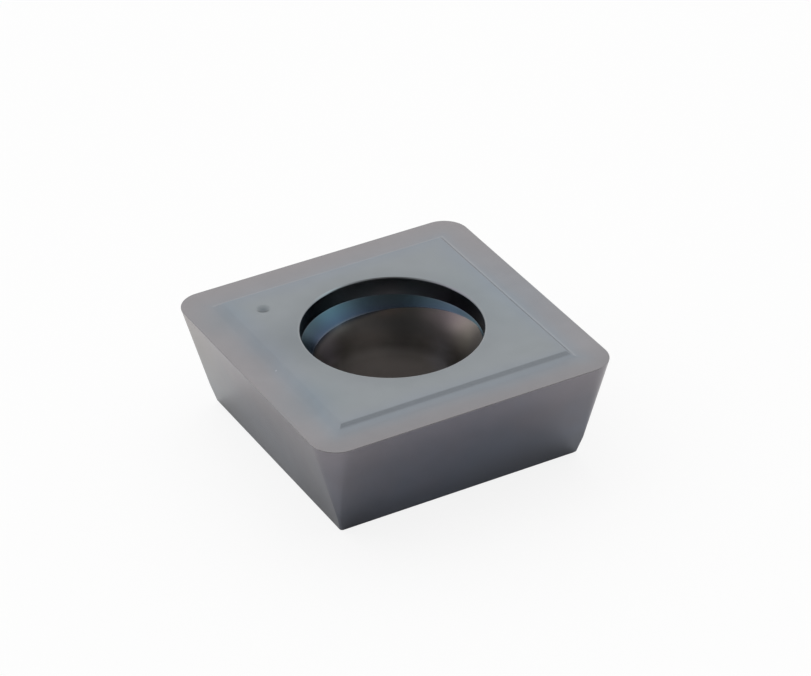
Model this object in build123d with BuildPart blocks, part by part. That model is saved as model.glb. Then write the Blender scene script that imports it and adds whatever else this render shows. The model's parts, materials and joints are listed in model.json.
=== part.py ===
# Square indexable cutting insert of sintered carbide, held by one screw.
# +Z up. Origin at the middle of the seat, on the axis of the screw hole. Millimetres and degrees.
import os
from math import radians, sqrt, tan

from build123d import *

# Body
side = 14.3  # between opposite cutting edges
thickness = 5.2  # from the seat to the top of the plateau
corner_radius = 1.2  # nose radius, in the plane of the cutting edges
clearance_angle = 15.0  # the flanks and corners lean in by this towards the seat
heel_radius = 0.1  # the corner cones narrow to this and no further
hone_radius = 0.03  # rounding of the cutting edges
seat_break = 0.08  # bevel round the seat

# Chip former
rake_angle = 2.0  # the land behind the edge falls inwards by this
land_width = 0.9  # from the cutting edge to the floor of the groove
plateau_rise = 0.23  # top of the plateau above the cutting edges
plateau_margin = 1.675  # from the cutting edges to the edges of the plateau
plateau_corner_radius = 0.25
plateau_wall_angle = 45.0  # from the vertical
plateau_foot_radius = 0.4  # hollow between the groove and the plateau's wall
plateau_edge_radius = 0.1

# Screw hole, from the top down
rim_diameter = 8.0
rim_break = 0.1  # rounding of the rim
recess_depth = 0.84  # straight wall that takes the edge of the screw's head
lead_in_diameter = 7.04  # lower end of the lead-in cone
lead_in_angle = 90.0  # included
trumpet_radius = 3.6  # the head bears on this curve, which runs out into the bore
bore_diameter = 5.75
bore_chamfer = 0.15  # break at the seat

# Dimple that marks one corner, so that a used edge can be told
dimple_diameter = 0.62
dimple_depth = 0.1
dimple_inset = 1.33  # from each plateau side to its centre

# Sizes and levels that follow from those above
plateau_side = side - 2 * plateau_margin
edge_height = thickness - plateau_rise
heel_height = edge_height - (corner_radius - heel_radius) / tan(radians(clearance_angle))
floor_height = edge_height - land_width * tan(radians(rake_angle))
lead_in_height = (thickness - recess_depth) - (rim_diameter - lead_in_diameter) / 2 / tan(
    radians(lead_in_angle / 2)
)


def side_at(height):
    """Distance between opposite flanks at a height."""
    return side - 2 * (edge_height - height) * tan(radians(clearance_angle))


def ring_edges(part, height, least, most):
    """Edges that lie level at a height, between two distances from the axis along X or Y."""
    level = part.edges().filter_by_position(Axis.Z, height - 1e-4, height + 1e-4)
    return [e for e in level if least < max(abs(e.center().X), abs(e.center().Y)) < most]


with BuildPart() as insert:
    # Flanks: true planes, joined by cones of the same clearance down to the heel
    with BuildSketch(Plane.XY.offset(edge_height)):
        RectangleRounded(side, side, corner_radius)
    extrude(amount=-(edge_height - heel_height), taper=clearance_angle)
    with BuildSketch(Plane.XY.offset(heel_height)):
        RectangleRounded(side_at(heel_height), side_at(heel_height), heel_radius)
    with BuildSketch(Plane.XY.offset(seat_break)):
        RectangleRounded(side_at(seat_break), side_at(seat_break), heel_radius)
    with BuildSketch():
        seat_side = side_at(seat_break) - 2 * seat_break
        RectangleRounded(seat_side, seat_side, heel_radius)
    loft(ruled=True)

    # Chip former: a land falls from the edge to a flat groove, and the plateau stands in its middle
    with BuildSketch(Plane.XY.offset(edge_height)):
        RectangleRounded(side, side, corner_radius)
    with BuildSketch(Plane.XY.offset(floor_height)):
        floor_side = side - 2 * land_width
        RectangleRounded(floor_side, floor_side, corner_radius - land_width)
    loft(ruled=True, mode=Mode.SUBTRACT)
    with BuildSketch(Plane.XY.offset(floor_height)):
        plateau_splay = (thickness - floor_height) * tan(radians(plateau_wall_angle))
        foot_side = plateau_side + 2 * plateau_splay
        RectangleRounded(foot_side, foot_side, plateau_corner_radius + plateau_splay)
    extrude(amount=thickness - floor_height, taper=plateau_wall_angle)

    foot = ring_edges(insert.part, floor_height, 0, (foot_side + floor_side) / 4)
    fillet(foot, plateau_foot_radius)
    crest = insert.faces().sort_by(Axis.Z)[-1].edges()
    fillet(crest, plateau_edge_radius)
    cutting_edge = ring_edges(insert.part, edge_height, floor_side / 2, side)
    fillet(cutting_edge, hone_radius)

    # Screw hole: rim, recess, lead-in cone, trumpet seat, bore and its chamfer
    with BuildSketch(Plane.XZ):
        with BuildLine():
            rim = rim_diameter / 2
            lead_in = lead_in_diameter / 2
            bore = bore_diameter / 2
            trumpet_centre = bore + trumpet_radius
            trumpet_height = sqrt(trumpet_radius**2 - (trumpet_centre - lead_in) ** 2)
            bore_top = lead_in_height - trumpet_height
            wall_foot = thickness - recess_depth
            outer = rim + rim_break
            Polyline((0, thickness), (outer, thickness))
            RadiusArc((outer, thickness), (rim, thickness - rim_break), -rim_break)
            Polyline((rim, thickness - rim_break), (rim, wall_foot), (lead_in, lead_in_height))
            RadiusArc((lead_in, lead_in_height), (bore, bore_top), -trumpet_radius)
            Polyline(
                (bore, bore_top),
                (bore, bore_chamfer),
                (bore + bore_chamfer, 0),
                (0, 0),
                (0, thickness),
            )
        make_face()
    revolve(axis=Axis.Z, mode=Mode.SUBTRACT)

    # Dimple: a shallow cap of a ball
    dimple_ball = (dimple_diameter**2 / 4 + dimple_depth**2) / (2 * dimple_depth)
    dimple_place = plateau_side / 2 - dimple_inset
    with Locations((-dimple_place, dimple_place, thickness - dimple_depth + dimple_ball)):
        Sphere(dimple_ball, mode=Mode.SUBTRACT)

insert.part.label = "insert_body"
os.makedirs("parts", exist_ok=True)
export_step(insert.part, "parts/insert_body.step")

box = insert.part.bounding_box()
print("size", box.size, "volume", round(insert.part.volume, 1), "bore top", round(bore_top, 2))
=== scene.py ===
# Screw-held cutting insert of coated carbide, on a pale bench under soft light.
import json
from math import atan2, ceil, cos, degrees, pi, radians, sin, sqrt, tan

import bpy
from mathutils import Matrix, Vector

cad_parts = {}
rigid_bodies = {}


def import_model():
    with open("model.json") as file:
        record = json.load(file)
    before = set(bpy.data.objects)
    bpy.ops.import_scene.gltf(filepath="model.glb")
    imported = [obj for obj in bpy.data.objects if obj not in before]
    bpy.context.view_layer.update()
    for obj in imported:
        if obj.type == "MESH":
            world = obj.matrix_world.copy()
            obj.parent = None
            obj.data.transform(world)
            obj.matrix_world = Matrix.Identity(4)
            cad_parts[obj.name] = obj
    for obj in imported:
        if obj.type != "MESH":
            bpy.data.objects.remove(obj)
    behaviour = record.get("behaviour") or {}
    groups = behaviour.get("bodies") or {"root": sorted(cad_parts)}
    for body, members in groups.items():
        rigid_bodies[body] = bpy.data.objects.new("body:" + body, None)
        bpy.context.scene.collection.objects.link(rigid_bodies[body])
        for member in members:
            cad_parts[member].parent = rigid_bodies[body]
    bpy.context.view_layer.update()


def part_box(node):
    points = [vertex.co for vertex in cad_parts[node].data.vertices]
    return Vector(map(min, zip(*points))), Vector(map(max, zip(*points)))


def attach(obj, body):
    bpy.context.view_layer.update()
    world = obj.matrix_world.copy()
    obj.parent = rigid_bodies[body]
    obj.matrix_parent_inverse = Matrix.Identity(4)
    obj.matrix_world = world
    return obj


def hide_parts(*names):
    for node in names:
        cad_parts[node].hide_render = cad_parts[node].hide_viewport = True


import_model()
mm = 0.001  # sizes below are in millimetres, Blender's are in metres
print("frame: packed insert loaded")


# Nodes, for the body and for the finishes


def plug(tree, socket, value):
    if isinstance(value, bpy.types.NodeSocket):
        tree.links.new(value, socket)
    else:
        socket.default_value = value


def addNode(tree, kind, inputs=None, **settings):
    node = tree.nodes.new(kind)
    for name, value in settings.items():
        setattr(node, name, value)
    for name, value in (inputs or {}).items():
        plug(tree, node.inputs[name], value)
    return node


def calc(tree, operation, *values, clamp=False):
    node = addNode(tree, "ShaderNodeMath", operation=operation, use_clamp=clamp)
    for socket, value in zip(node.inputs, values):
        plug(tree, socket, value)
    return node.outputs[0]


def vectorCalc(tree, operation, *values):
    node = addNode(tree, "ShaderNodeVectorMath", operation=operation)
    for socket, value in zip(node.inputs, values):
        plug(tree, socket, value)
    return node.outputs["Value" if operation in ("LENGTH", "DOT_PRODUCT") else "Vector"]


def splitVector(tree, vector):
    return addNode(tree, "ShaderNodeSeparateXYZ", {"Vector": vector}).outputs


def joinVector(tree, x, y, z):
    return addNode(tree, "ShaderNodeCombineXYZ", {"X": x, "Y": y, "Z": z}).outputs[0]


def fromAxis(tree, place):
    return vectorCalc(tree, "LENGTH", vectorCalc(tree, "MULTIPLY", place, (1, 1, 0)))


def mapped(tree, value, fromLow, fromHigh, toLow, toHigh, kind="SMOOTHSTEP"):
    sizes = {"Value": value, "From Min": fromLow, "From Max": fromHigh}
    sizes |= {"To Min": toLow, "To Max": toHigh}
    return addNode(tree, "ShaderNodeMapRange", sizes, interpolation_type=kind).outputs["Result"]


def mixShaders(tree, share, first, second):
    shaders = {0: share, 1: first.outputs[0], 2: second.outputs[0]}
    return addNode(tree, "ShaderNodeMixShader", shaders).outputs[0]


def mixColors(tree, share, first, second, blend="MIX"):
    # the node's sockets for colours are 6 and 7, and its output for them is 2
    colors = {0: share, 6: first, 7: second}
    return addNode(tree, "ShaderNodeMix", colors, data_type="RGBA", blend_type=blend).outputs[2]


def ramped(tree, value, stops):
    # a new ramp has two stops, at 0 and 1
    node = addNode(tree, "ShaderNodeValToRGB", {"Fac": value})
    elements = node.color_ramp.elements
    places = sorted(stops)
    while len(elements) < len(places):
        elements.new(0.5)
    for element, place in zip(elements, places):
        element.position = place
    for element, place in zip(elements, places):
        element.color = (*stops[place], 1)
    return node.outputs["Color"]


def noise(tree, place, scale, detail, roughness):
    sizes = {"Vector": place, "Scale": scale, "Detail": detail, "Roughness": roughness}
    return addNode(tree, "ShaderNodeTexNoise", sizes).outputs["Fac"]


def addSockets(tree, direction, kinds):
    for name, kind in kinds.items():
        tree.interface.new_socket(name, in_out=direction, socket_type="NodeSocket" + kind)


# Camera: looks down on the nearest corner

cameraView = {  # degrees and millimetres
    "azimuth": -28.5696,
    "elevation": 32.5287,
    "roll": -1.1896,
    "distance": 160.21,
    "aimRight": 0.479,
    "aimUp": 3.881,
    "lens": 161.59,
    "sensor": 36.0,
    "clipStart": 1.0,
    "clipEnd": 20000.0,
}


def makeCamera():
    view = cameraView
    turn, rise, roll = (radians(view[name]) for name in ("azimuth", "elevation", "roll"))
    back = Vector((sin(turn) * cos(rise), -cos(turn) * cos(rise), sin(rise)))
    level = Vector((cos(turn), sin(turn), 0))
    plumb = back.cross(level)
    right = level * cos(roll) + plumb * sin(roll)
    up = plumb * cos(roll) - level * sin(roll)
    place = back * view["distance"] + right * view["aimRight"] + up * view["aimUp"]
    data = bpy.data.cameras.new("camera")
    data.lens = view["lens"]
    data.sensor_width = view["sensor"]
    data.clip_start = view["clipStart"] * mm
    data.clip_end = view["clipEnd"] * mm
    camera = bpy.data.objects.new("camera", data)
    bpy.context.scene.collection.objects.link(camera)
    facing = Matrix((right, up, back)).transposed().to_4x4()
    camera.matrix_world = Matrix.Translation(place * mm) @ facing
    bpy.context.scene.camera = camera
    print("camera: set")


# Studio: pale bench, white surround, soft lamp and a dark hood over the camera

studio = {  # metres, watts, and plain shares of light
    "benchWidth": 4.0,
    "benchGap": 0.01,  # millimetres, so that the seat and the bench never share a plane
    "benchColor": (0.92, 0.92, 0.915),
    "benchLift": 0.86,
    "fillMiddle": 0.75,  # the surround lights from the back left more than from the camera's side
    "fillSwing": 1.1,
    "brightSide": (0.0, 0.95, 0.3),
    "lampPlace": (-0.45, 0.21, 0.42),
    "lampSize": 0.2,
    "lampPower": 0.05,
    "hoodRadius": 0.6,
    "hoodMiddle": (-118.0, 20.0),  # degrees round from +x, and up from the bench
    "hoodSpread": 72.0,
    "hoodGrey": 0.08,
    "hoodFade": (30.0, 62.0),  # it thins out between these angles from the middle
    "hoodFadeHeights": (0.2, 0.5),  # and between these heights
    "hoodRings": 10,
    "hoodSteps": 48,
}


def whiteRays(tree):
    rays = addNode(tree, "ShaderNodeLightPath").outputs
    shiny = calc(tree, "MAXIMUM", rays["Is Glossy Ray"], rays["Is Transmission Ray"])
    return calc(tree, "MAXIMUM", rays["Is Camera Ray"], shiny)


def makeSurround():
    world = bpy.data.worlds.new("surround")
    world.use_nodes = True
    tree = world.node_tree
    tree.nodes.clear()
    side = Vector(studio["brightSide"]).normalized()
    outward = addNode(tree, "ShaderNodeTexCoord").outputs["Generated"]
    towards = vectorCalc(tree, "DOT_PRODUCT", outward, side)
    strength = calc(tree, "MULTIPLY_ADD", towards, studio["fillSwing"], studio["fillMiddle"])
    strength = calc(tree, "MAXIMUM", strength, 0.0)
    fill = addNode(tree, "ShaderNodeBackground", {"Color": (1, 1, 1, 1), "Strength": strength})
    white = addNode(tree, "ShaderNodeBackground", {"Color": (1, 1, 1, 1), "Strength": 1.0})
    surface = mixShaders(tree, whiteRays(tree), fill, white)
    addNode(tree, "ShaderNodeOutputWorld", {"Surface": surface})
    bpy.context.scene.world = world


def emptyMaterial(name):
    material = bpy.data.materials.new(name)
    material.use_nodes = True
    material.node_tree.nodes.clear()
    return material


def stagedMesh(name, points, faces, material):
    mesh = bpy.data.meshes.new(name)
    mesh.from_pydata(points, [], faces)
    mesh.materials.append(material)
    thing = bpy.data.objects.new(name, mesh)
    bpy.context.scene.collection.objects.link(thing)
    return thing


def makeBench():
    material = emptyMaterial("benchPaper")
    tree = material.node_tree
    paper = addNode(tree, "ShaderNodeBsdfDiffuse", {"Color": (*studio["benchColor"], 1)})
    glow = addNode(tree, "ShaderNodeEmission", {"Color": (1, 1, 1, 1), "Strength": 1.0})
    seen = addNode(tree, "ShaderNodeLightPath").outputs["Is Camera Ray"]
    lift = calc(tree, "MULTIPLY", seen, studio["benchLift"])
    addNode(tree, "ShaderNodeOutputMaterial", {"Surface": mixShaders(tree, lift, paper, glow)})
    half = studio["benchWidth"] / 2
    level = -studio["benchGap"] * mm
    corners = [(-half, -half, level), (half, -half, level), (half, half, level), (-half, half, level)]
    stagedMesh("bench", corners, [(0, 1, 2, 3)], material)


def aimAtOrigin(thing, place):
    thing.location = place
    thing.rotation_euler = (-Vector(place)).to_track_quat("-Z", "Y").to_euler()


def makeLamp():
    data = bpy.data.lights.new("softLamp", "AREA")
    data.shape = "SQUARE"
    data.size = studio["lampSize"]
    data.energy = studio["lampPower"]
    lamp = bpy.data.objects.new("softLamp", data)
    bpy.context.scene.collection.objects.link(lamp)
    aimAtOrigin(lamp, studio["lampPlace"])


def makeHood():
    # part of a dark dome, round the camera's side of the insert
    material = emptyMaterial("darkHood")
    tree = material.node_tree
    turn, rise = (radians(angle) for angle in studio["hoodMiddle"])
    facing = Matrix.Rotation(turn, 3, "Z") @ Matrix.Rotation(pi / 2 - rise, 3, "Y")
    place = addNode(tree, "ShaderNodeTexCoord").outputs["Object"]
    middle = facing @ Vector((0, 0, 1)) / studio["hoodRadius"]
    along = vectorCalc(tree, "DOT_PRODUCT", place, middle)
    near, far = (cos(radians(angle)) for angle in studio["hoodFade"])
    outer = mapped(tree, along, near, far, 0.0, 1.0)
    high = mapped(tree, splitVector(tree, place)["Z"], *studio["hoodFadeHeights"], 0.0, 1.0)
    grey = (studio["hoodGrey"],) * 3 + (1,)
    felt = addNode(tree, "ShaderNodeBsdfDiffuse", {"Color": grey})
    gap = addNode(tree, "ShaderNodeBsdfTransparent")
    surface = mixShaders(tree, calc(tree, "MULTIPLY", outer, high), felt, gap)
    addNode(tree, "ShaderNodeOutputMaterial", {"Surface": surface})

    rings, steps = studio["hoodRings"], studio["hoodSteps"]
    points = []
    for ring in range(rings + 1):
        lean = radians(studio["hoodSpread"]) * ring / rings
        for step in range(steps):
            spin = 2 * pi * step / steps
            outward = Vector((sin(lean) * cos(spin), sin(lean) * sin(spin), cos(lean)))
            points.append(facing @ outward * studio["hoodRadius"])
    faces = []
    for ring in range(rings):
        for step in range(steps):
            here, beside = ring * steps + step, ring * steps + (step + 1) % steps
            faces.append((here, beside, beside + steps, here + steps))
    hood = stagedMesh("darkHood", points, faces, material)
    hood.visible_camera = False
    hood.visible_diffuse = False


# Coat: a thin hard film, whose tint follows its thickness, with painted shade and painted highlights
# in places

filmTints = {  # share of the film's thickness range, and what it does to the grey under it
    0.0: (1.05, 0.95, 0.94),
    0.22: (1.025, 0.955, 0.96),
    0.45: (0.95, 0.975, 1.03),
    0.7: (0.985, 0.995, 1.005),
    1.0: (0.98, 1.0, 0.985),
}
coatFinish = {  # linear greys and colours, sizes in millimetres
    "rakeGrey": (0.274, 0.292, 0.305),
    "rakeFilm": (0.1, 2.6, 0.0, 0.75),  # two distances in from the edges, and the film at each
    "filmLean": (0.007, -0.029, 0.0),
    # painted shade: the rake darker towards the hole's rim
    "paintedRimShade": 0.93,
    "paintedRimShadeWidth": 1.2,
    # painted shade: the rake darker along the near land
    "paintedNearLandShade": 0.88,
    "paintedNearLandWidth": 2.2,
    "dimplePatch": (0.38, (0.45, 0.48, 0.51)),  # radius and tint
    "flankGrey": (0.226, 0.23, 0.249),
    "flankFilm": (0.55, 0.15),  # at the seat and at the edges
    # painted shade: darker near the seat and in a band below the edges, a little lighter at the top
    "paintedFlankShades": {0.0: 0.88, 0.3: 1.0, 0.68: 0.93, 0.9: 1.02, 1.0: 1.04},  # up from the seat
    "seatGrey": (0.25, 0.262, 0.272),
    "seatFilm": 0.6,
    "grindTurn": 28.0,
    "grindStretch": (14.0, 0.35, 1.0),  # lines for each millimetre across them, along and up
    "grindShades": (0.88, 1.1),
    # partly painted shade: the bore's foot is darker than the trumpet
    "boreTint": (0.165, 0.148, 0.14),
    "trumpetFootTint": (0.31, 0.287, 0.272),
    "trumpetTint": (0.26, 0.24, 0.228),
    "trumpetDepths": (1.3, 0.91),  # of those two tints, under the lead-in
    "leadInLowTint": (0.05, 0.074, 0.112),
    "leadInHighTint": (0.056, 0.094, 0.116),
    "recessTint": (0.13, 0.153, 0.18),
    "bandBlend": 0.03,
    "bandSpan": (-1.3, 0.5),  # where the trumpet's tints give way, in shares of the softness
    "bandSide": (0.88, -0.47, 0.0),  # their edge is sharp towards this side
    "bandSoftness": (-1.8, 0.2, 0.2, 0.025),  # two places along it, and the softness at each
    "roughness": 0.25,
    "trumpetRoughness": 0.38,
    "roughnessDrift": (-0.02, 0.02),
    "noiseSpan": (0.3, 0.7),  # nearly all of a noise lies between these
    "grainSize": 0.05,
    "grainDepth": 0.0012,
    "grainNoise": (3.0, 0.6),  # detail and roughness of a noise, here and below
    "grindNoise": (3.0, 0.7),
    "driftNoise": (2.0, 0.5),
    "driftSize": 2.6,
    "driftShare": 0.22,
    "flankDriftShare": 0.44,
    "cloudNoise": (4.0, 0.55),
    "cloudScale": 1.1,  # clouds for each millimetre
    "cloudShades": (0.975, 1.025),
    "speckSpacing": 1.5,
    "speckSize": 0.035,
    "speckShare": 0.35,
    "brightSpeck": 0.6,
    "darkSpeck": -0.35,
}
# patches: where the film drifts, and where noted, painted shade or painted highlights
rakePatches = {  # where the film drifts: middle and radius in millimetres, and its tint
    # painted shade, beside the hole
    "left of the hole": ((-4.6, 1.2, 5.2), 3.0, (0.87, 0.88, 0.89)),
    "right side": ((7.0, 0.0, 5.0), 6.0, (0.95, 1.0, 1.03)),
    "groove by the dimple": ((-6.0, 4.6, 5.0), 2.0, (0.9, 0.95, 0.97)),
    "groove by the corner": ((-6.0, -3.2, 5.0), 2.6, (0.9, 0.95, 0.97)),
}
# in the hole the patches are mostly painted highlights and painted shade
boreTintsHighlightsAndShade = {  # the same, in the hole
    # painted shade at the back of the recess
    "back of the recess": ((1.9, 3.6, 6.0), 3.2, (0.12, 0.12, 0.12)),
    # painted highlight
    "teal side": ((-1.0, 3.7, 4.35), 1.5, (1.4, 1.7, 1.75)),
    # painted highlight
    "middle of the lead-in": ((1.65, 3.4, 4.3), 1.2, (1.7, 1.45, 1.35)),
    "navy side": ((3.6, 1.2, 4.3), 2.2, (1.0, 0.9, 1.0)),
    # painted highlight
    "left of the trumpet": ((-2.0, 2.4, 2.9), 1.4, (1.9, 1.9, 2.2)),
    # painted shade in the throat
    "throat": ((1.7, 2.2, 2.9), 1.75, (0.44, 0.46, 0.47)),
    # painted highlight
    "right of the trumpet": ((3.1, -0.2, 3.9), 1.5, (1.9, 1.85, 1.7)),
    # painted highlight
    "right foot of the trumpet": ((2.8, 0.7, 2.2), 1.2, (1.5, 1.6, 1.8)),
}
# flank patches: film tints, and painted shade where noted
flankPatches = {  # and on the flanks
    # painted shade, low on the flank by the near corner
    "near heel": ((-6.3, -4.4, 0.0), 3.8, (0.56, 0.55, 0.55)),
    "far end": ((-6.8, 6.5, 3.5), 6.0, (1.07, 1.04, 0.93)),
    "near side": ((-1.0, -6.6, 3.0), 9.0, (0.95, 0.99, 1.07)),
}


def edgeInsetGroup():
    # how far a place lies in from the rounded square of the cutting edges
    tree = bpy.data.node_groups.new("edgeInset", "ShaderNodeTree")
    addSockets(tree, "INPUT", {"Place": "Vector", "Half Width": "Float", "Corner Radius": "Float"})
    addSockets(tree, "OUTPUT", {"Inset": "Float"})
    given = addNode(tree, "NodeGroupInput").outputs
    core = calc(tree, "SUBTRACT", given["Half Width"], given["Corner Radius"])
    mirrored = vectorCalc(tree, "ABSOLUTE", given["Place"])
    past = vectorCalc(tree, "SUBTRACT", mirrored, joinVector(tree, core, core, 0.0))
    x, y = splitVector(tree, past)[:2]
    beyond = joinVector(tree, calc(tree, "MAXIMUM", x, 0.0), calc(tree, "MAXIMUM", y, 0.0), 0.0)
    within = calc(tree, "MINIMUM", calc(tree, "MAXIMUM", x, y), 0.0)
    reach = calc(tree, "ADD", vectorCalc(tree, "LENGTH", beyond), within)
    inset = calc(tree, "SUBTRACT", given["Corner Radius"], reach)
    addNode(tree, "NodeGroupOutput", {"Inset": inset})
    return tree


def filmTintGroup():
    tree = bpy.data.node_groups.new("filmTint", "ShaderNodeTree")
    addSockets(tree, "INPUT", {"Place": "Vector", "Grey": "Color", "Thickness": "Float"})
    addSockets(tree, "INPUT", {"Drift Size": "Float", "Drift Share": "Float"})
    addSockets(tree, "OUTPUT", {"Color": "Color"})
    given = addNode(tree, "NodeGroupInput").outputs
    often = calc(tree, "DIVIDE", 1.0, given["Drift Size"])
    drift = noise(tree, given["Place"], often, *coatFinish["driftNoise"])
    swing = calc(tree, "MULTIPLY", calc(tree, "SUBTRACT", drift, 0.5), given["Drift Share"])
    thickness = calc(tree, "ADD", given["Thickness"], swing, clamp=True)
    color = vectorCalc(tree, "MULTIPLY", given["Grey"], ramped(tree, thickness, filmTints))
    addNode(tree, "NodeGroupOutput", {"Color": color})
    return tree


def tintAndLightPatchGroup():
    # a soft round patch that multiplies the colour by a tint: film tints, and painted highlights or
    # painted shade where the patch lists say so
    tree = bpy.data.node_groups.new("tintAndLightPatch", "ShaderNodeTree")
    addSockets(tree, "INPUT", {"Place": "Vector", "Middle": "Vector", "Radius": "Float"})
    addSockets(tree, "INPUT", {"Tint": "Color", "Color": "Color"})
    addSockets(tree, "OUTPUT", {"Color": "Color"})
    given = addNode(tree, "NodeGroupInput").outputs
    away = vectorCalc(tree, "LENGTH", vectorCalc(tree, "SUBTRACT", given["Place"], given["Middle"]))
    share = mapped(tree, away, given["Radius"], 0.0, 0.0, 1.0)
    color = mixColors(tree, share, given["Color"], given["Tint"], "MULTIPLY")
    addNode(tree, "NodeGroupOutput", {"Color": color})
    return tree


def coatGrainGroup():
    # very fine grain of the blasted carbide under the film, and a cloudy mottle
    tree = bpy.data.node_groups.new("coatGrain", "ShaderNodeTree")
    addSockets(tree, "INPUT", {"Place": "Vector", "Grain Size": "Float", "Cloud Scale": "Float"})
    addSockets(tree, "OUTPUT", {"Height": "Float", "Mottle": "Float"})
    given = addNode(tree, "NodeGroupInput").outputs
    often = calc(tree, "DIVIDE", 1.0, given["Grain Size"])
    height = noise(tree, given["Place"], often, *coatFinish["grainNoise"])
    mottle = noise(tree, given["Place"], given["Cloud Scale"], *coatFinish["cloudNoise"])
    addNode(tree, "NodeGroupOutput", {"Height": height, "Mottle": mottle})
    return tree


def specksGroup():
    # a few pinholes and as many bright grains
    tree = bpy.data.node_groups.new("fineSpecks", "ShaderNodeTree")
    addSockets(tree, "INPUT", {"Place": "Vector", "Spacing": "Float"})
    addSockets(tree, "INPUT", {"Size": "Float", "Share": "Float"})
    addSockets(tree, "OUTPUT", {"Bright": "Float", "Dark": "Float"})
    given = addNode(tree, "NodeGroupInput").outputs
    often = calc(tree, "DIVIDE", 1.0, given["Spacing"])
    cells = addNode(tree, "ShaderNodeTexVoronoi", {"Vector": given["Place"], "Scale": often})
    away = calc(tree, "MULTIPLY", cells.outputs["Distance"], given["Spacing"])
    dot = calc(tree, "LESS_THAN", away, given["Size"])
    chance, kind = splitVector(tree, cells.outputs["Color"])[:2]
    chosen = calc(tree, "MULTIPLY", dot, calc(tree, "LESS_THAN", chance, given["Share"]))
    bright = calc(tree, "MULTIPLY", chosen, calc(tree, "GREATER_THAN", kind, 0.5))
    dark = calc(tree, "SUBTRACT", chosen, bright)
    addNode(tree, "NodeGroupOutput", {"Bright": bright, "Dark": dark})
    return tree


def useGroup(tree, group, inputs):
    return addNode(tree, "ShaderNodeGroup", inputs, node_tree=group).outputs


def shade(tree, color, amount):
    inputs = {0: color, "Scale": amount}
    return addNode(tree, "ShaderNodeVectorMath", inputs, operation="SCALE").outputs["Vector"]


def patched(tree, place, color, group, patches):
    for middle, radius, tint in patches.values():
        patch = {"Place": place, "Middle": middle, "Radius": radius}
        patch |= {"Tint": (*tint, 1), "Color": color}
        color = useGroup(tree, group, patch)["Color"]
    return color


def newCoat(name):
    material = bpy.data.materials.new(name)
    material.use_nodes = True
    tree = material.node_tree
    place = shade(tree, addNode(tree, "ShaderNodeTexCoord").outputs["Object"], 1 / mm)
    return material, tree, place


def filmColor(tree, place, group, grey, thickness, driftShare):
    film = {"Place": place, "Grey": (*grey, 1), "Thickness": thickness}
    film |= {"Drift Size": coatFinish["driftSize"], "Drift Share": driftShare}
    return useGroup(tree, group, film)["Color"]


def finishCoat(tree, place, color, groups, roughness=coatFinish["roughness"]):
    # grain, specks and the metal itself, alike on every face
    f = coatFinish
    sizes = {"Place": place, "Grain Size": f["grainSize"], "Cloud Scale": f["cloudScale"]}
    grain = useGroup(tree, groups["grain"], sizes)
    sizes = {"Place": place, "Spacing": f["speckSpacing"]}
    sizes |= {"Size": f["speckSize"], "Share": f["speckShare"]}
    specks = useGroup(tree, groups["specks"], sizes)
    cloud = mapped(tree, grain["Mottle"], *f["noiseSpan"], *f["cloudShades"], "LINEAR")
    lifted = calc(tree, "MULTIPLY_ADD", specks["Bright"], f["brightSpeck"], cloud)
    sunken = calc(tree, "MULTIPLY_ADD", specks["Dark"], f["darkSpeck"], lifted)
    drift = mapped(tree, grain["Mottle"], *f["noiseSpan"], *f["roughnessDrift"], "LINEAR")
    relief = {"Strength": 1.0, "Distance": f["grainDepth"] * mm, "Height": grain["Height"]}
    bump = addNode(tree, "ShaderNodeBump", relief)
    shader = tree.nodes["Principled BSDF"]
    shader.inputs["Metallic"].default_value = 1.0
    plug(tree, shader.inputs["Base Color"], shade(tree, color, sunken))
    plug(tree, shader.inputs["Roughness"], calc(tree, "ADD", drift, roughness))
    plug(tree, shader.inputs["Normal"], bump.outputs["Normal"])


def rakeCoat(groups):
    f = coatFinish
    level = insertLevels()
    material, tree, place = newCoat("rakeCoat")
    edge = {"Place": place, "Half Width": level["half"]}
    edge |= {"Corner Radius": insertSizes["cornerRadius"]}
    inset = useGroup(tree, groups["inset"], edge)["Inset"]
    inset = calc(tree, "ADD", inset, vectorCalc(tree, "DOT_PRODUCT", place, f["filmLean"]))
    thickness = mapped(tree, inset, *f["rakeFilm"], "LINEAR")
    color = filmColor(tree, place, groups["film"], f["rakeGrey"], thickness, f["driftShare"])
    patches = rakePatches | {"dimple": (dimpleMiddle(), *f["dimplePatch"])}
    color = patched(tree, place, color, groups["patch"], patches)

    # painted shade: darker close to the hole and along the near land
    rim = insertSizes["rimDiameter"] / 2
    reach = fromAxis(tree, place)
    nearRim = mapped(tree, reach, rim, rim + f["paintedRimShadeWidth"], f["paintedRimShade"], 1.0)
    near, far = -level["half"], f["paintedNearLandWidth"] - level["half"]
    nearLand = mapped(tree, splitVector(tree, place)["Y"], near, far, f["paintedNearLandShade"], 1.0)
    color = shade(tree, color, calc(tree, "MULTIPLY", nearRim, nearLand))
    finishCoat(tree, place, color, groups)
    return material


def flankCoat(groups):
    f = coatFinish
    edge = insertLevels()["edge"]
    material, tree, place = newCoat("flankCoat")
    height = splitVector(tree, place)["Z"]
    thickness = mapped(tree, height, 0.0, edge, *f["flankFilm"], "LINEAR")
    color = filmColor(tree, place, groups["film"], f["flankGrey"], thickness, f["flankDriftShare"])
    color = patched(tree, place, color, groups["patch"], flankPatches)
    # painted shade up the flanks
    shades = {share: (grey,) * 3 for share, grey in f["paintedFlankShades"].items()}
    shades = ramped(tree, calc(tree, "DIVIDE", height, edge), shades)
    finishCoat(tree, place, vectorCalc(tree, "MULTIPLY", color, shades), groups)
    return material


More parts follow.
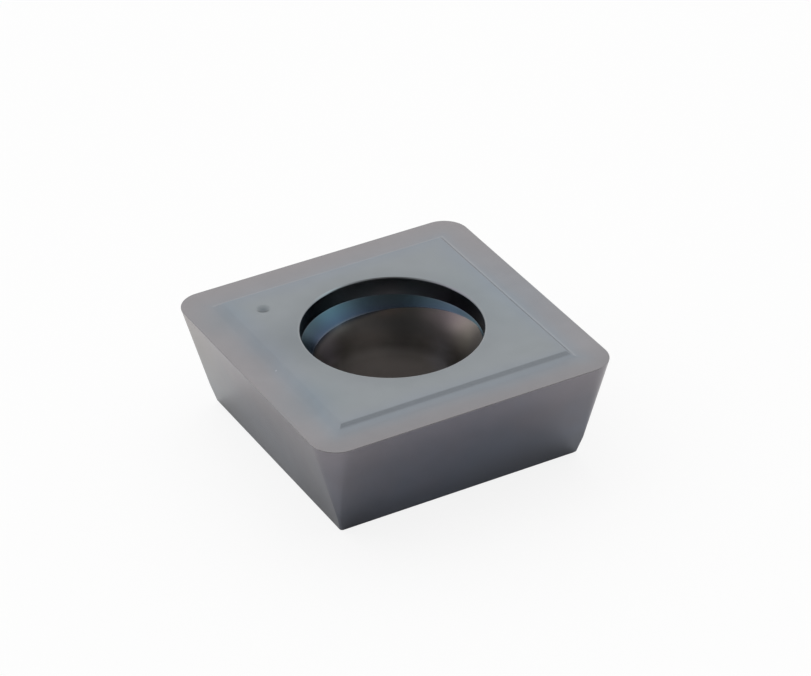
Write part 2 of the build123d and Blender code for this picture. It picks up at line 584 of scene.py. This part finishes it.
def seatCoat(groups):
    # the seat is ground flat, so fine lines run across it
    f = coatFinish
    material, tree, place = newCoat("seatCoat")
    color = filmColor(tree, place, groups["film"], f["seatGrey"], f["seatFilm"], f["driftShare"])
    lay = {"Vector": place, "Scale": f["grindStretch"]}
    lay |= {"Rotation": (0.0, 0.0, radians(f["grindTurn"]))}
    along = addNode(tree, "ShaderNodeMapping", lay).outputs["Vector"]
    lines = noise(tree, along, 1.0, *f["grindNoise"])
    color = shade(tree, color, mapped(tree, lines, *f["noiseSpan"], *f["grindShades"], "LINEAR"))
    finishCoat(tree, place, color, groups)
    return material


def boreCoat(groups):
    # the film thins down the hole, so its colour goes in bands, darker at the bore's foot, partly as
    # painted shade, and the lowest band lies askew
    f = coatFinish
    s = insertSizes
    level = insertLevels()
    material, tree, place = newCoat("boreCoat")
    height = splitVector(tree, place)["Z"]
    footDepth, depth = f["trumpetDepths"]
    lower = {
        level["boreTop"]: f["boreTint"],
        level["leadInFoot"] - footDepth: f["trumpetFootTint"],
        level["leadInFoot"] - depth: f["trumpetTint"],
    }
    upper = {
        level["leadInFoot"]: f["leadInLowTint"],
        level["recessFoot"] - f["bandBlend"]: f["leadInHighTint"],
        level["recessFoot"] + f["bandBlend"]: f["recessTint"],
        level["top"] - s["rimBreak"]: f["recessTint"],
        level["top"]: f["rakeGrey"],
    }
    share = calc(tree, "DIVIDE", height, level["top"])
    lowColor, highColor = (
        ramped(tree, share, {step / level["top"]: tint for step, tint in bands.items()})
        for bands in (lower, upper)
    )

    # the lowest band ends at the foot of the lead-in, wherever the seat has climbed to
    askew = vectorCalc(tree, "DOT_PRODUCT", place, s["seatLean"])
    climbed = calc(tree, "MINIMUM", calc(tree, "ADD", askew, s["seatRise"]), s["seatLimit"])
    above = calc(tree, "SUBTRACT", calc(tree, "SUBTRACT", height, level["leadInFoot"]), climbed)
    side = vectorCalc(tree, "DOT_PRODUCT", place, f["bandSide"])
    softness = mapped(tree, side, *f["bandSoftness"])
    share = mapped(tree, calc(tree, "DIVIDE", above, softness), *f["bandSpan"], 0.0, 1.0)
    color = mixColors(tree, share, lowColor, highColor)
    color = patched(tree, place, color, groups["patch"], boreTintsHighlightsAndShade)
    roughness = mapped(tree, share, 0.0, 1.0, f["trumpetRoughness"], f["roughness"], "LINEAR")
    finishCoat(tree, place, color, groups, roughness)
    return material


def makeCoats():
    groups = {"inset": edgeInsetGroup(), "film": filmTintGroup(), "patch": tintAndLightPatchGroup()}
    groups |= {"grain": coatGrainGroup(), "specks": specksGroup()}
    makers = {"Rake Coat": rakeCoat, "Flank Coat": flankCoat}
    makers |= {"Seat Coat": seatCoat, "Bore Coat": boreCoat}
    coats = {name: maker(groups) for name, maker in makers.items()}
    print("coats: made")
    return coats


# Body: one section, swept round four corners on the outside and in circles through the hole

insertSizes = {  # millimetres and degrees
    "cornerRadius": 1.2,
    "clearance": 15.0,
    "heelRadius": 0.1,
    "hone": 0.03,
    "seatBreak": 0.08,
    "rake": 2.0,
    "land": 0.9,
    "plateauRise": 0.23,
    "plateauMargin": 1.675,
    "plateauCorner": 0.05,
    "plateauWall": 45.0,
    "footRadius": 0.4,
    "crestRadius": 0.06,
    "rimDiameter": 8.0,
    "rimBreak": 0.1,
    "recessDepth": 0.84,
    "leadInDiameter": 7.04,
    "leadInAngle": 90.0,
    "trumpetRadius": 3.6,
    "seatRise": 0.22,  # the lead-in's foot as made, against its nominal height
    "seatLean": (0.04, -0.085, 0.0),  # and how much it climbs for each millimetre along x and y
    "seatLimit": 0.42,
    "boreDiameter": 5.75,
    "boreChamfer": 0.15,
    "dimpleDiameter": 0.62,
    "dimpleDepth": 0.1,
    "dimpleInset": 1.33,
    "holdGap": 0.03,  # a row this far from each rounding keeps the flat beside it flat
    "arcStep": 6.4,
    "crispAngle": 8.5,  # edges that turn more than this stay crisp
    "cornerSteps": 16,
    "sideSteps": 40,
    "dimpleSteps": 64,
    "dimpleRings": 40,
    "mergeGap": 0.0001,
    "coreLimit": 0.001,  # a row whose corners leave less than this between them is a circle
    "flankFacing": -0.05,  # height of a face's normal under which the flanks' coat starts
    "seatFacing": -0.9,  # and the seat's
}


def insertLevels():
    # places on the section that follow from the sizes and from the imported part's box
    s = insertSizes
    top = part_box("insert_body")[1] / mm
    rake, clearance = radians(s["rake"]), radians(s["clearance"])
    lean = (pi / 2 + rake - clearance) / 2
    level = {"top": top.z, "half": top.x + s["hone"] * (cos(lean) / cos(lean + clearance) - 1)}
    level["edge"] = top.z - s["plateauRise"]
    level["floor"] = level["edge"] - s["land"] * tan(rake)
    level["crest"] = level["half"] - s["plateauMargin"]
    level["foot"] = level["crest"] + (top.z - level["floor"]) * tan(radians(s["plateauWall"]))
    level["heelInset"] = s["cornerRadius"] - s["heelRadius"]
    level["heel"] = level["edge"] - level["heelInset"] / tan(clearance)
    level["seatHalf"] = level["half"] - (level["edge"] - s["seatBreak"]) * tan(clearance)
    level["recessFoot"] = top.z - s["recessDepth"]
    step = (s["rimDiameter"] - s["leadInDiameter"]) / 2
    level["leadInFoot"] = level["recessFoot"] - step / tan(radians(s["leadInAngle"] / 2))
    reach = s["trumpetRadius"] - (s["leadInDiameter"] - s["boreDiameter"]) / 2
    level["boreTop"] = level["leadInFoot"] - sqrt(s["trumpetRadius"] ** 2 - reach**2)
    return level


def roundTurn(before, corner, after, radius):
    # arc that rounds one corner of the section, with a holding row on the flat at each end
    toBefore = (before - corner).normalized()
    toAfter = (after - corner).normalized()
    turn = pi - toBefore.angle(toAfter)
    run = radius * tan(turn / 2)
    centre = corner + (toBefore + toAfter).normalized() * radius / cos(turn / 2)
    start = corner + toBefore * run - centre
    finish = corner + toAfter * run - centre
    sweep = turn if start.cross(finish) > 0 else -turn
    steps = ceil(degrees(turn) / insertSizes["arcStep"])
    arc = [centre + Matrix.Rotation(sweep * k / steps, 2) @ start for k in range(steps + 1)]
    hold = insertSizes["holdGap"]
    return [arc[0] + toBefore * hold, *arc, arc[-1] + toAfter * hold]


def trumpetRows(foot, top):
    # convex seat for the screw's head, from the bore up to the lead-in
    radius = insertSizes["trumpetRadius"]
    reach = radius - (top.x - foot.x)
    centre = Vector((foot.x + radius, top.y - sqrt(radius**2 - reach**2)))
    sweep = atan2(top.y - centre.y, reach)
    steps = ceil(degrees(sweep) / insertSizes["arcStep"])
    turns = [sweep * k / steps for k in range(steps + 1)]
    return [centre + Vector((-cos(turn), sin(turn))) * radius for turn in turns]


def sectionRows():
    # each row is half its width, the radius of its corners and its height
    s = insertSizes
    level = insertLevels()
    rim, bore = s["rimDiameter"] / 2, s["boreDiameter"] / 2
    rimPoint = Vector((rim, level["top"]))
    crest = Vector((level["crest"], level["top"]))
    foot = Vector((level["foot"], level["floor"]))
    land = Vector((level["half"] - s["land"], level["floor"]))
    edge = Vector((level["half"], level["edge"]))
    heel = Vector((level["half"] - level["heelInset"], level["heel"]))
    recessFoot = Vector((rim, level["recessFoot"]))
    leadInFoot = Vector((s["leadInDiameter"] / 2, level["leadInFoot"]))
    boreFoot = Vector((bore, s["boreChamfer"]))

    plateau = roundTurn(rimPoint, crest, foot, s["crestRadius"])
    plateau += roundTurn(crest, foot, land, s["footRadius"])
    cutting = [land, *roundTurn(land, edge, heel, s["hone"]), heel]
    ends = ((level["seatHalf"], s["seatBreak"]), (level["seatHalf"] - s["seatBreak"], 0))
    seat = [Vector(end) for end in ends]
    hole = [Vector((bore + s["boreChamfer"], 0)), boreFoot]
    hole += [*trumpetRows(boreFoot, leadInFoot), recessFoot]
    hole += roundTurn(recessFoot, rimPoint, crest, s["rimBreak"])

    rows = [(p.x, s["plateauCorner"], p.y) for p in plateau]
    rows += [(p.x, s["cornerRadius"] + p.x - level["half"], p.y) for p in cutting]
    rows += [(p.x, s["heelRadius"], p.y) for p in seat]
    rows += [(p.x, p.x, p.y) for p in hole]
    return rows


def sweepTree():
    s = insertSizes
    tree = bpy.data.node_groups.new("sweepSection", "GeometryNodeTree")
    tree.is_modifier = True
    addSockets(tree, "INPUT", {"Section": "Geometry", "Corner Steps": "Int", "Side Steps": "Int"})
    addSockets(tree, "INPUT", {"Dimple Centre": "Vector", "Dimple Radius": "Float"})
    addSockets(tree, "INPUT", {"Hole Radius": "Float", "Crisp Angle": "Float"})
    addSockets(tree, "INPUT", {"Seat Radius": "Float", "Seat Foot": "Float", "Seat Top": "Float"})
    addSockets(tree, "INPUT", {"Seat Rise": "Float", "Seat Lean": "Vector", "Seat Limit": "Float"})
    coats = ("Rake Coat", "Flank Coat", "Seat Coat", "Bore Coat")
    addSockets(tree, "INPUT", {name: "Material" for name in coats})
    addSockets(tree, "OUTPUT", {"Body": "Geometry"})
    given = addNode(tree, "NodeGroupInput").outputs

    # a grid with one row for each point of the section and one column for each step round
    counted = {"Geometry": given["Section"]}
    size = addNode(tree, "GeometryNodeAttributeDomainSize", counted, component="MESH")
    rows = size.outputs["Point Count"]
    perSide = calc(tree, "ADD", given["Corner Steps"], given["Side Steps"])
    around = calc(tree, "MULTIPLY", perSide, 4)
    stride = calc(tree, "ADD", around, 1)
    counts = {"Vertices X": calc(tree, "ADD", rows, 1), "Vertices Y": stride}
    grid = addNode(tree, "GeometryNodeMeshGrid", counts)
    index = addNode(tree, "GeometryNodeInputIndex").outputs[0]
    row = calc(tree, "FLOOR", calc(tree, "DIVIDE", calc(tree, "ADD", index, 0.5), stride))
    column = calc(tree, "SUBTRACT", index, calc(tree, "MULTIPLY", row, stride))
    row = calc(tree, "MODULO", row, rows)
    column = calc(tree, "MODULO", column, around)
    quarter = calc(tree, "FLOOR", calc(tree, "DIVIDE", calc(tree, "ADD", column, 0.5), perSide))
    step = calc(tree, "SUBTRACT", column, calc(tree, "MULTIPLY", quarter, perSide))

    position = addNode(tree, "GeometryNodeInputPosition").outputs[0]
    sample = {"Geometry": given["Section"], "Index": row, "Value": position}
    station = addNode(tree, "GeometryNodeSampleIndex", sample, data_type="FLOAT_VECTOR")
    width, corner, height = splitVector(tree, station.outputs["Value"])

    # outside, a quarter is a corner's arc and then a straight side
    turn = calc(tree, "DIVIDE", step, given["Corner Steps"], clamp=True)
    turn = calc(tree, "MULTIPLY", turn, pi / 2)
    past = calc(tree, "SUBTRACT", step, given["Corner Steps"])
    slide = calc(tree, "DIVIDE", past, given["Side Steps"], clamp=True)
    core = calc(tree, "SUBTRACT", width, corner)
    across = calc(tree, "MULTIPLY", core, calc(tree, "MULTIPLY_ADD", slide, -2.0, 1.0))
    squareX = calc(tree, "MULTIPLY_ADD", calc(tree, "COSINE", turn), corner, across)
    squareY = calc(tree, "MULTIPLY_ADD", calc(tree, "SINE", turn), corner, core)

    # in the hole, where the corners' radius is the whole width, the same steps share a circle
    offset = calc(tree, "MULTIPLY_ADD", given["Corner Steps"], -0.5, step)
    angle = calc(tree, "MULTIPLY_ADD", calc(tree, "DIVIDE", offset, perSide), pi / 2, pi / 4)
    roundX = calc(tree, "MULTIPLY", calc(tree, "COSINE", angle), width)
    roundY = calc(tree, "MULTIPLY", calc(tree, "SINE", angle), width)
    places = {
        "Switch": calc(tree, "LESS_THAN", core, s["coreLimit"]),
        "False": joinVector(tree, squareX, squareY, height),
        "True": joinVector(tree, roundX, roundY, height),
    }
    choice = addNode(tree, "GeometryNodeSwitch", places, input_type="VECTOR")
    heading = {"Vector": choice.outputs[0], "Angle": calc(tree, "MULTIPLY", quarter, pi / 2)}
    turned = addNode(tree, "ShaderNodeVectorRotate", heading, rotation_type="Z_AXIS")
    moved = {"Geometry": grid.outputs["Mesh"], "Position": turned.outputs[0]}
    swept = addNode(tree, "GeometryNodeSetPosition", moved)

    # the seat's upper end climbs the lead-in cone, more on one side than on the other
    x, y, z = splitVector(tree, position)
    radial = fromAxis(tree, position)
    climb = calc(tree, "SUBTRACT", z, given["Seat Foot"])
    reach = calc(tree, "SUBTRACT", given["Seat Top"], given["Seat Foot"])
    up = calc(tree, "DIVIDE", climb, reach, clamp=True)
    askew = vectorCalc(tree, "DOT_PRODUCT", position, given["Seat Lean"])
    lift = calc(tree, "ADD", askew, given["Seat Rise"])
    lift = calc(tree, "MINIMUM", lift, given["Seat Limit"])
    lift = calc(tree, "MULTIPLY", lift, calc(tree, "MULTIPLY", up, up))
    lift = calc(tree, "MULTIPLY", lift, calc(tree, "LESS_THAN", radial, given["Seat Radius"]))
    grow = calc(tree, "DIVIDE", lift, radial)
    offset = joinVector(tree, calc(tree, "MULTIPLY", x, grow), calc(tree, "MULTIPLY", y, grow), lift)
    lifted = {"Geometry": swept.outputs[0], "Offset": offset}
    swept = addNode(tree, "GeometryNodeSetPosition", lifted)
    joined = {"Geometry": swept.outputs[0], "Distance": s["mergeGap"]}
    closed = addNode(tree, "GeometryNodeMergeByDistance", joined)

    # the dimple is a cap of a ball
    ball = {"Segments": s["dimpleSteps"], "Rings": s["dimpleRings"]}
    ball |= {"Radius": given["Dimple Radius"]}
    ball = addNode(tree, "GeometryNodeMeshUVSphere", ball)
    sunk = {"Geometry": ball.outputs["Mesh"], "Translation": given["Dimple Centre"]}
    ball = addNode(tree, "GeometryNodeTransform", sunk)
    meshes = {"Mesh 1": closed.outputs[0], "Mesh 2": ball.outputs[0]}
    cut = addNode(tree, "GeometryNodeMeshBoolean", meshes, operation="DIFFERENCE")

    surface = {"Geometry": cut.outputs[0], "Shade Smooth": True}
    smooth = addNode(tree, "GeometryNodeSetShadeSmooth", surface)
    bend = addNode(tree, "GeometryNodeInputMeshEdgeAngle").outputs["Unsigned Angle"]
    crisp = calc(tree, "GREATER_THAN", bend, given["Crisp Angle"])
    edges = {"Geometry": smooth.outputs[0], "Selection": crisp, "Shade Smooth": False}
    shaded = addNode(tree, "GeometryNodeSetShadeSmooth", edges, domain="EDGE")

    # finishes go by where a face is and which way it looks
    facing = splitVector(tree, addNode(tree, "GeometryNodeInputNormal").outputs["Normal"])["Z"]
    looksDown = calc(tree, "LESS_THAN", facing, s["flankFacing"])
    looksFloor = calc(tree, "LESS_THAN", facing, s["seatFacing"])
    inHole = calc(tree, "LESS_THAN", radial, given["Hole Radius"])
    whole = {"Geometry": shaded.outputs[0]}
    shape = addNode(tree, "GeometryNodeRealizeInstances", whole).outputs[0]
    for coat, where in zip(coats, (True, looksDown, looksFloor, inHole)):
        painted = {"Geometry": shape, "Selection": where, "Material": given[coat]}
        shape = addNode(tree, "GeometryNodeSetMaterial", painted).outputs[0]
    addNode(tree, "NodeGroupOutput", {"Body": shape})
    return tree


def dimpleMiddle():
    # where the plateau's top would be over the dimple
    level = insertLevels()
    place = level["crest"] - insertSizes["dimpleInset"]
    return Vector((-place, place, level["top"]))


def makeInsert(coats):
    s = insertSizes
    level = insertLevels()
    ballRadius = (s["dimpleDiameter"] ** 2 / 4 + s["dimpleDepth"] ** 2) / (2 * s["dimpleDepth"])
    values = {
        "Corner Steps": s["cornerSteps"],
        "Side Steps": s["sideSteps"],
        "Dimple Centre": dimpleMiddle() + Vector((0, 0, ballRadius - s["dimpleDepth"])),
        "Dimple Radius": ballRadius,
        "Hole Radius": s["rimDiameter"] / 2 + s["rimBreak"],
        "Crisp Angle": radians(s["crispAngle"]),
        "Seat Radius": s["leadInDiameter"] / 2 + s["holdGap"],
        "Seat Foot": level["boreTop"],
        "Seat Top": level["leadInFoot"],
        "Seat Rise": s["seatRise"],
        "Seat Lean": s["seatLean"],
        "Seat Limit": s["seatLimit"],
        **coats,
    }
    section = bpy.data.meshes.new("section")
    section.from_pydata(sectionRows(), [], [])
    holder = bpy.data.objects.new("section", section)
    bpy.context.scene.collection.objects.link(holder)
    sweep = holder.modifiers.new("sweep", "NODES")
    sweep.node_group = sweepTree()
    for item in sweep.node_group.interface.items_tree:
        if item.in_out == "INPUT" and item.name in values:
            sweep[item.identifier] = values[item.name]
    evaluated = holder.evaluated_get(bpy.context.evaluated_depsgraph_get())
    mesh = bpy.data.meshes.new_from_object(evaluated)
    mesh.name = "insertBody"
    mesh.transform(Matrix.Scale(mm, 4))
    mesh.materials.pop(index=0)  # the empty slot that the sweep starts with
    holder.modifiers.remove(sweep)
    bpy.data.objects.remove(holder)
    insert = bpy.data.objects.new("insertBody", mesh)
    bpy.context.scene.collection.objects.link(insert)
    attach(insert, "root")
    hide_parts("insert_body")
    print("body:", len(mesh.polygons), "faces")


makeCamera()
makeSurround()
makeBench()
makeLamp()
makeHood()
print("studio: set")
makeInsert(makeCoats())
bpy.context.scene.view_settings.view_transform = "Standard"
